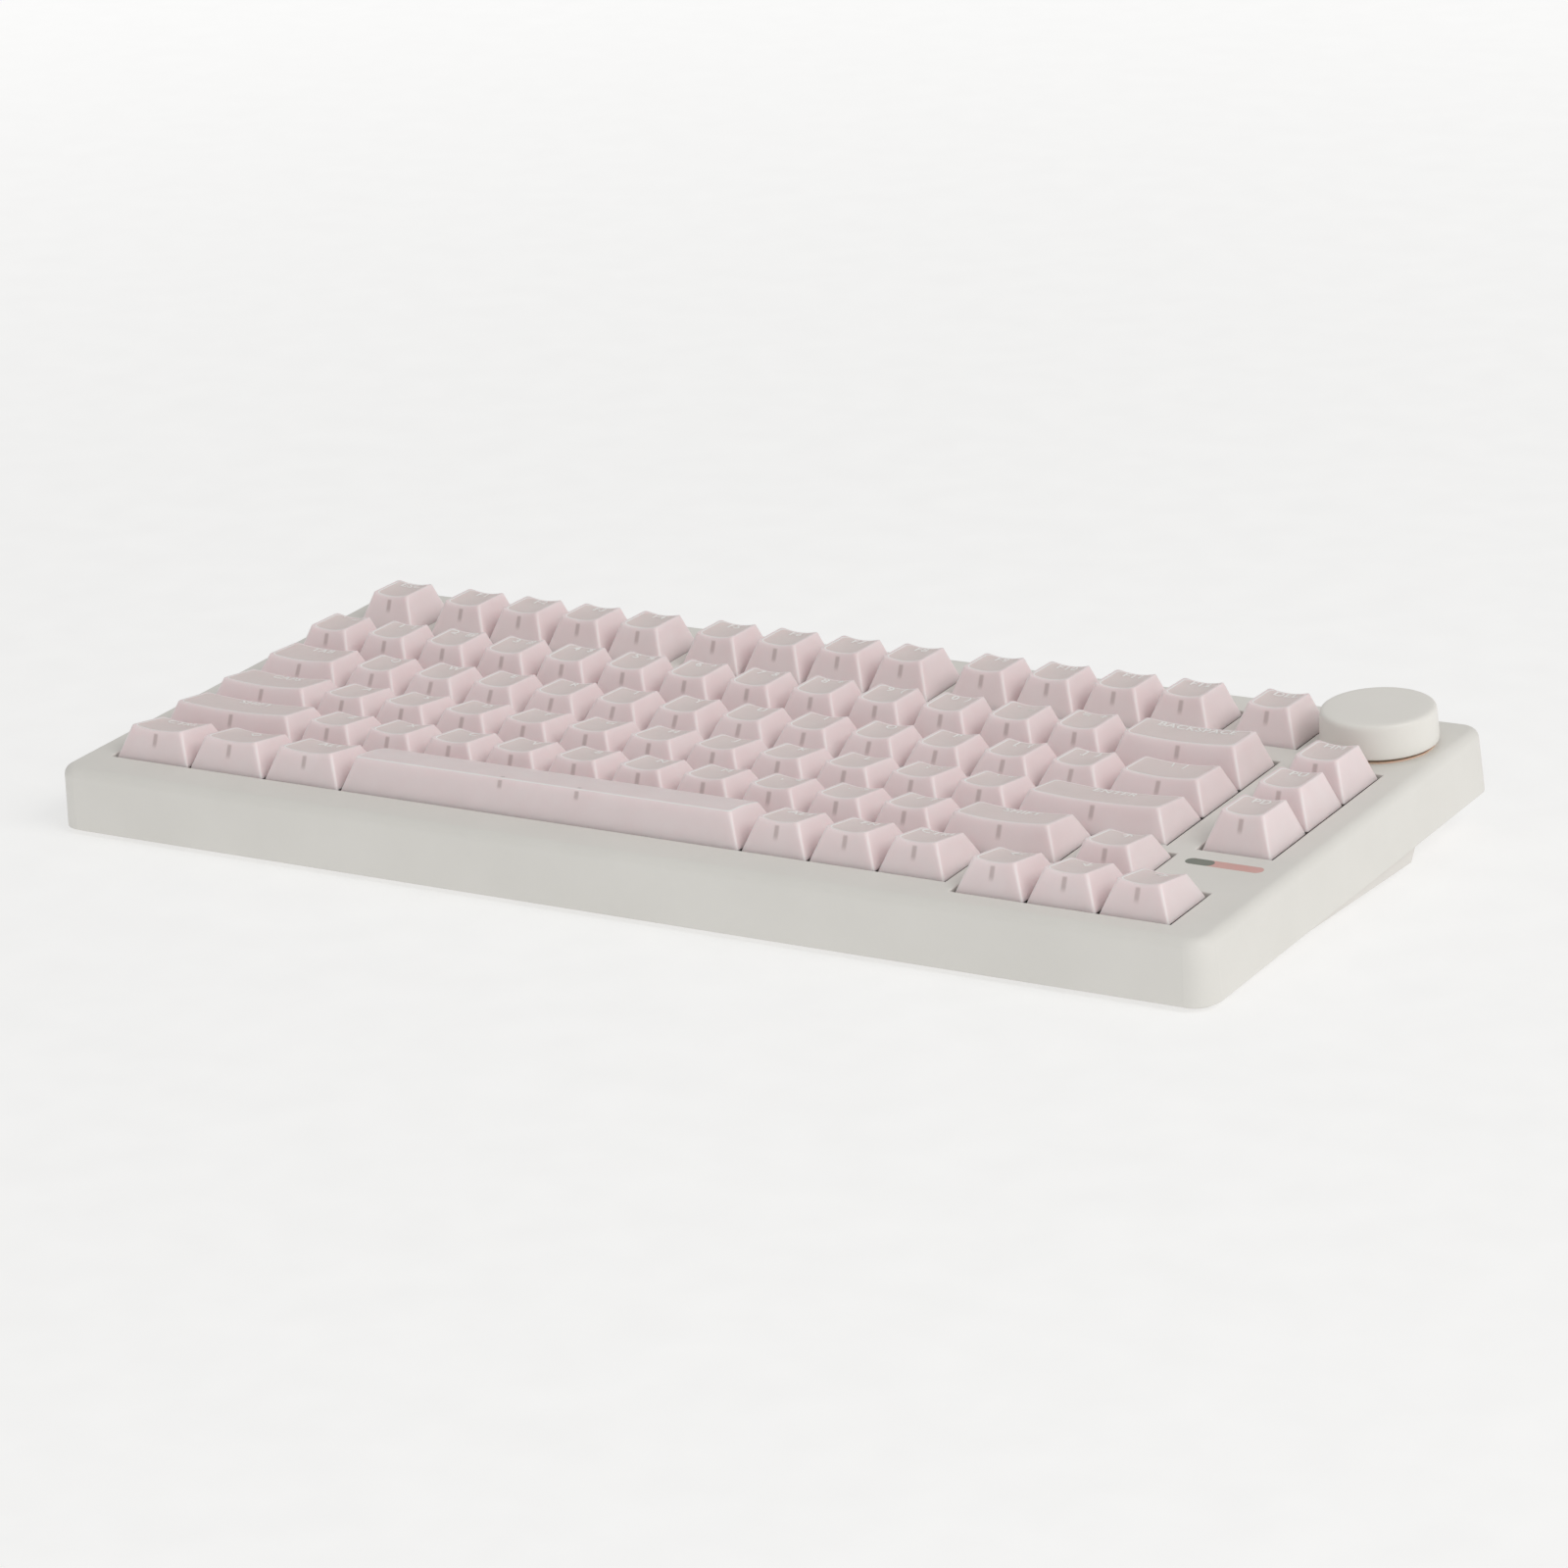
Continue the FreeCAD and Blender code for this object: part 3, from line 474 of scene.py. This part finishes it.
# ---------------------------------------------------------------- keycaps
class Cap:
    """Shape of one keycap about its own centre."""

    def __init__(self, width, profile):
        top_width, front_inset, back_inset, front_height, back_height = [v * MM for v in PROFILES[profile]]
        side = (PITCH - CAP_GAP - top_width) / 2
        half_x = (width * PITCH - CAP_GAP) / 2
        half_y = (PITCH - CAP_GAP) / 2
        self.skirt = (-half_x, half_x, -half_y, half_y)
        self.top = (-half_x + side, half_x - side, -half_y + front_inset, half_y - back_inset)
        self.front_height = front_height
        self.back_height = back_height
        self.steps = (5, max(10, round(width * 9)), 8)
        self.is_space = width > 4
        self.rim_inset = SPACE_RIM_INSET if self.is_space else RIM_INSET

    def roof(self, x, y):
        """Height of the key top: a slope, dished across or, on the space bar, crowned front to back."""
        x1, y0, y1 = self.top[1:]
        along = (y - y0) / (y1 - y0)
        height = self.front_height + (self.back_height - self.front_height) * along
        if self.is_space:
            return height + CROWN * (1 - (2 * along - 1) ** 2)
        across = x / x1
        return height - DISH * (1 - across ** 2)

    def ring(self, bounds, radius):
        return rounded_ring(bounds, max(radius, 0.02 * MM), *self.steps)

    def towards_spine(self, x, y, t):
        """Point the share t of the way to the line that the rings of the top shrink to."""
        x1, y0, y1 = self.top[1:]
        half_y = (y1 - y0) / 2
        reach = max(x1 - half_y, 0)
        spine_x = min(max(x, -reach), reach)
        spine_y = (y0 + y1) / 2
        return (x + (spine_x - x) * t, y + (spine_y - y) * t)


def outer_rings(cap):
    """Rings of the visible skin, from the skirt to the middle of the top, each as (part, points)."""
    skirt = cap.ring(cap.skirt, SKIRT_RADIUS)
    chamfer = cap.ring(inset(cap.skirt, SKIRT_CHAMFER), SKIRT_RADIUS)
    edge = []
    for angle, part in EDGE_STEPS:
        back_off = EDGE_RADIUS * (1 - math.cos(math.radians(angle)))
        drop = EDGE_RADIUS * (1 - math.sin(math.radians(angle)))
        plan = cap.ring(inset(cap.top, back_off), TOP_RADIUS - back_off)
        edge.append((part, [(x, y, cap.roof(x, y) - drop) for x, y in plan]))
    rings = [("flank", [(x, y, -SKIRT_DROP) for x, y in chamfer]),
             ("flank", [(x, y, -SKIRT_DROP + SKIRT_CHAMFER) for x, y in skirt])]
    for t in FLANK_STEPS:
        rings.append(("flank", [(sx + (tx - sx) * t, sy + (ty - sy) * t, tz * t)
                                for (sx, sy), (tx, ty, tz) in zip(skirt, edge[0][1])]))
    rings += edge
    for offset, part in RIM_STEPS:
        distance = cap.rim_inset + offset * MM
        lift = RIM_HEIGHT if part == "ridge" else 0
        plan = cap.ring(inset(cap.top, distance), RIM_RADIUS - offset * MM)
        rings.append((part, [(x, y, cap.roof(x, y) + lift) for x, y in plan]))
    last = [point[:2] for point in rings[-1][1]]
    for t in PANEL_STEPS:
        plan = [cap.towards_spine(x, y, t) for x, y in last]
        rings.append(("panel", [(x, y, cap.roof(x, y)) for x, y in plan]))
    return rings


def corner_points(cap):
    """Which points of a ring lie at the middle of its four corners."""
    corner_steps, x_steps, y_steps = cap.steps
    marks = []
    for steps in (y_steps, x_steps, y_steps, x_steps):
        marks += [2 <= i <= 3 for i in range(corner_steps + 1)] + [False] * (steps - 1)
    return marks


def inner_rings(cap):
    """Rings of the hollow side, from the skirt to the middle of its ceiling."""
    lip = cap.ring(inset(cap.skirt, CAP_WALL - SKIRT_CHAMFER), INNER_SKIRT_RADIUS)
    mouth = cap.ring(inset(cap.skirt, CAP_WALL), INNER_SKIRT_RADIUS)
    plan = cap.ring(inset(cap.top, CEILING_INSET), INNER_TOP_RADIUS)
    ceiling = [(x, y, cap.roof(x, y) - CAP_ROOF) for x, y in plan]
    rings = [[(x, y, -SKIRT_DROP) for x, y in lip]]
    for t in INNER_WALL_STEPS:
        rings.append([(mx + (cx - mx) * t, my + (cy - my) * t, cz * t)
                      for (mx, my), (cx, cy, cz) in zip(mouth, ceiling)])
    for t in CEILING_STEPS:
        flat = [cap.towards_spine(x, y, t) for x, y in plan]
        rings.append([(x, y, cap.roof(x, y) - CAP_ROOF) for x, y in flat])
    return rings


def rib_depth(cap, y, depth):
    """Depth in mm below the top's edge as the mask of the painted rib shadow reads it.

    The painted shadows of the space bar's ribs also darken one ring of its top, just inside the front ridge, over
    each rib.
    """
    behind_edge = (y - cap.top[2]) / MM
    if cap.is_space and 0.82 < behind_edge < 0.95:
        return 2.0
    return depth * SPACE_RIB_STRETCH if cap.is_space else depth


def rib_offset(cap, x):
    """Distance in mm from the nearest inner rib: one in the middle, or two under the space bar."""
    return abs(x) / MM - SPACE_RIB if cap.is_space else x / MM


def painted_highlight_strength(cap, part, at_corner, x, y):
    """Strength of the painted highlight at a point: on the ridge (full near the left and front edges of the top
    except on the space bar, weaker elsewhere), on the space bar's crest, and on the corners of the flanks.
    """
    if part == "ridge":
        facing = x < cap.top[0] + 2 * MM or y < cap.top[2] + 2 * MM
        return 1.0 if facing and not cap.is_space else 0.35
    if part == "crest" and cap.is_space:
        return 1.0
    return CORNER_HIGHLIGHT_SHARE if part == "flank" and at_corner else 0.0


def cap_mesh(cap, name):
    """Closed shell of a keycap, with the attributes that its material reads."""
    outer = outer_rings(cap)
    inner = inner_rings(cap)
    mesh = closed_mesh(name, inner[::-1] + [ring for part, ring in outer])
    mesh.attributes.new("cap_place", "FLOAT_VECTOR", "POINT")
    mesh.attributes.new("cap_painted_highlight", "FLOAT", "POINT")
    mesh.attributes.new("cap_top_shade", "FLOAT", "POINT")
    place = mesh.attributes["cap_place"].data
    painted_highlight = mesh.attributes["cap_painted_highlight"].data
    panel = mesh.attributes["cap_top_shade"].data
    corners = corner_points(cap)
    x0, x1, y0, y1 = cap.top
    index = sum(len(ring) for ring in inner)
    for part, ring in outer:
        for at_corner, (x, y, z) in zip(corners, ring):
            edge_x = min(max(x, x0), x1)
            edge_y = min(max(y, y0), y1)
            depth = max(0.0, cap.roof(edge_x, edge_y) - z) / MM
            place[index].vector = (rib_offset(cap, x), y / MM, rib_depth(cap, y, depth))
            # strength of the painted highlight on the ridge, the space bar's crest and the corners of the flanks
            painted_highlight[index].value = painted_highlight_strength(cap, part, at_corner, x, y)
            # share of the painted shade that greys the top, read by the keycap material
            panel[index].value = (SPACE_TOP_SHADE if cap.is_space else 1.0) if part == "panel" else 0.0
            index += 1
    merge_close(mesh)
    return mesh


# ---------------------------------------------------------------- legends
LEGEND_HEIGHT = 2.7 * MM
LEGEND_FONT_SIZE = 1.38 * LEGEND_HEIGHT     # for capitals of about that height
LEGEND_SPACING = 1.08
LEGEND_PLACE = 0.18         # share of the top's depth between a legend's middle and the back edge
LEGEND_LIFT = 0.02 * MM
LEGEND_DEPTH = 0.06 * MM
LEGEND_SWELL = 0.03 * MM
STROKE = 0.42 * MM
SIGN_SCALE = 0.95

# strokes of the drawn signs, as (x, y) points in units of the legend height
SIGNS = {
    "<up>": [[(0, -0.55), (0, 0.55)], [(-0.4, 0.1), (0, 0.55), (0.4, 0.1)]],
    "<down>": [[(0, 0.55), (0, -0.55)], [(-0.4, -0.1), (0, -0.55), (0.4, -0.1)]],
    "<left>": [[(0.55, 0), (-0.55, 0)], [(-0.1, 0.4), (-0.55, 0), (-0.1, -0.4)]],
    "<right>": [[(-0.55, 0), (0.55, 0)], [(0.1, 0.4), (0.55, 0), (0.1, -0.4)]],
    "<diamond>": [[(0, 0.55), (0.55, 0), (0, -0.55), (-0.55, 0), (0, 0.55)]],
}


def stroke_mesh(lines):
    """Flat strokes with square ends, centred on the origin."""
    work = bmesh.new()
    for line in lines:
        points = [Vector((x, y, 0)) * LEGEND_HEIGHT * SIGN_SCALE for x, y in line]
        for start, end in zip(points, points[1:]):
            along = (end - start).normalized() * STROKE / 2
            side = Vector((-along.y, along.x, 0))
            corners = [start - along - side, end + along - side, end + along + side, start - along + side]
            work.faces.new([work.verts.new(corner) for corner in corners])
    mesh = bpy.data.meshes.new("sign")
    work.to_mesh(mesh)
    work.free()
    return mesh


def text_mesh(text):
    """Flat lettering, centred on the origin."""
    curve = bpy.data.curves.new("legend_text", "FONT")
    curve.body = text
    curve.size = LEGEND_FONT_SIZE
    curve.align_x = "CENTER"
    curve.align_y = "CENTER"
    curve.space_character = LEGEND_SPACING
    if not set(text) & set("MQ"):       # thickened, the outlines of these two would cross themselves
        curve.offset = LEGEND_SWELL
    curve.resolution_u = 4
    holder = bpy.data.objects.new("legend_text", curve)
    mesh = bpy.data.meshes.new_from_object(holder)
    bpy.data.objects.remove(holder)
    bpy.data.curves.remove(curve)
    return mesh


def thicken(mesh):
    """Gives flat lettering a small depth, closed all round."""
    work = bmesh.new()
    work.from_mesh(mesh)
    bmesh.ops.triangulate(work, faces=work.faces)
    work.normal_update()
    for face in work.faces:
        if face.normal.z < 0:
            face.normal_flip()
    extruded = bmesh.ops.extrude_face_region(work, geom=work.faces[:])["geom"]
    for item in extruded:
        if isinstance(item, bmesh.types.BMVert):
            item.co.z += LEGEND_DEPTH + LEGEND_LIFT
    work.to_mesh(mesh)
    work.free()


def legend_mesh(cap, text):
    """Raised lettering that follows the key top, standing near its back edge."""
    mesh = stroke_mesh(SIGNS[text]) if text in SIGNS else text_mesh(text)
    thicken(mesh)
    y0, y1 = cap.top[2:]
    middle = y1 - LEGEND_PLACE * (y1 - y0)
    for vertex in mesh.vertices:
        x = vertex.co.x
        y = middle + vertex.co.y
        vertex.co = (x, y, cap.roof(x, y) - LEGEND_LIFT * 0.5 + vertex.co.z)
    return mesh


def make_keys():
    for node, (row, left, width, legends) in KEYS.items():
        back, profile = ROWS[row]
        cap = Cap(width, profile)
        for number, text in enumerate(legends, 1):
            centre = Matrix.Translation(((left + (number - 0.5) * width) * PITCH, (back - 0.5) * PITCH, 0))
            name = f"{node}_{number}"
            mesh = cap_mesh(cap, "cap_" + name)
            mesh.transform(centre)
            piece = finish_piece(mesh, "cap_" + name, "keycap", BODY_OF[node])
            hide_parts(node)
            if text:
                mesh = legend_mesh(cap, text)
                mesh.transform(centre)
                finish_piece(mesh, "legend_" + name, "legend", BODY_OF[node])


# ---------------------------------------------------------------- knob
KNOB_SEGMENTS = 144
# radius and height of the knob's outline, from under its hub round the outside to the middle of the top
KNOB_OUTLINE = [(3.05, 2.2), (5.5, 2.2), (5.5, 7.4), (12.4, 7.4), (12.4, 1.75), (12.55, 1.6), (13.9, 1.6),
                (14.25, 1.68), (14.5, 1.9), (14.6, 2.25), (14.55, 4.0), (14.42, 6.0), (14.3, 8.6),
                (14.24, 9.4), (14.12, 9.85), (13.9, 10.18), (13.6, 10.38), (13.2, 10.5), (12.6, 10.56),
                (11.5, 10.58), (8.0, 10.58), (4.0, 10.58), (0.0, 10.58)]


def lathe_mesh(name, outline, segments):
    rings = []
    for radius, height in outline:
        angles = [2 * math.pi * i / segments for i in range(segments)]
        rings.append([(radius * MM * math.cos(a), radius * MM * math.sin(a), height * MM) for a in angles])
    mesh = closed_mesh(name, rings)
    merge_close(mesh)
    return mesh


def make_knob():
    outline = [(0.0, 7.95), (3.05, 7.95)] + KNOB_OUTLINE
    mesh = lathe_mesh("knob_turned", outline, KNOB_SEGMENTS)
    mesh.transform(Matrix.Translation((KNOB_CENTRE[0], KNOB_CENTRE[1], 0)))
    piece = finish_piece(mesh, "knob_turned", "knob_plastic", BODY_OF["knob"], 40)
    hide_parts("knob")


# ---------------------------------------------------------------- carried-over CAD nodes
def dress_cad_nodes():
    """Every CAD node that stays gets its finished material."""
    slots = {part["node"]: part["material_slot"] for part in frame["record"]["subparts"]}
    for name, node in frame["nodes"].items():
        slot = slots[name]
        for holder in node.material_slots:
            holder.material = MATERIALS[slot]


# ---------------------------------------------------------------- stage
FLOOR_SIZE = 24.0
FLOOR_DROP = 0.05 * MM
CAMERA_PLACE = Vector((0.70842, -1.06977, 0.42342))
CAMERA_FORWARD = Vector((-0.52180, 0.79631, -0.30597))
CAMERA_RIGHT = Vector((0.84455, 0.53277, -0.05372))
CAMERA_LENS = 123.28
SENSOR = 36.0
WORLD_COLOUR = (1.0, 0.995, 0.985, 1)
WORLD_STRENGTH = 0.54
KEY_LIGHT_PLACE = (2.8, -0.6, 2.3)
KEY_LIGHT_SIZE = (2.4, 1.8)
KEY_LIGHT_POWER = 42
KEY_LIGHT_COLOUR = (1.0, 0.99, 0.97)


def add_camera():
    data = bpy.data.cameras.new("camera")
    data.lens = CAMERA_LENS
    data.sensor_width = SENSOR
    data.clip_start = 0.05
    data.clip_end = 60
    camera = bpy.data.objects.new("camera", data)
    bpy.context.scene.collection.objects.link(camera)
    back = -CAMERA_FORWARD.normalized()
    right = (CAMERA_RIGHT - back * CAMERA_RIGHT.dot(back)).normalized()
    up = back.cross(right)
    turn = Matrix((right, up, back)).transposed().to_4x4()
    camera.matrix_world = Matrix.Translation(CAMERA_PLACE) @ turn
    bpy.context.scene.camera = camera


def add_key_light():
    """One large softbox that faces the object."""
    data = bpy.data.lights.new("key", "AREA")
    data.shape = "RECTANGLE"
    data.size, data.size_y = KEY_LIGHT_SIZE
    data.energy = KEY_LIGHT_POWER
    data.color = KEY_LIGHT_COLOUR
    light = bpy.data.objects.new("key", data)
    bpy.context.scene.collection.objects.link(light)
    light.location = KEY_LIGHT_PLACE
    light.rotation_euler = (-Vector(KEY_LIGHT_PLACE)).to_track_quat("-Z", "Y").to_euler()


def add_world():
    world = bpy.data.worlds.new("studio")
    bpy.context.scene.world = world
    world.use_nodes = True
    background = world.node_tree.nodes["Background"]
    background.inputs["Color"].default_value = WORLD_COLOUR
    background.inputs["Strength"].default_value = WORLD_STRENGTH


def add_floor():
    half = FLOOR_SIZE / 2
    mesh = bpy.data.meshes.new("floor")
    corners = [(-half, -half), (half, -half), (half, half), (-half, half)]
    mesh.from_pydata([(x, y, -FLOOR_DROP) for x, y in corners], [], [(0, 1, 2, 3)])
    mesh.materials.append(floor_paper())
    floor = bpy.data.objects.new("floor", mesh)
    bpy.context.scene.collection.objects.link(floor)


make_keys()
make_knob()
dress_cad_nodes()
add_camera()
add_floor()
add_world()
add_key_light()
bpy.context.scene.view_settings.view_transform = "Standard"
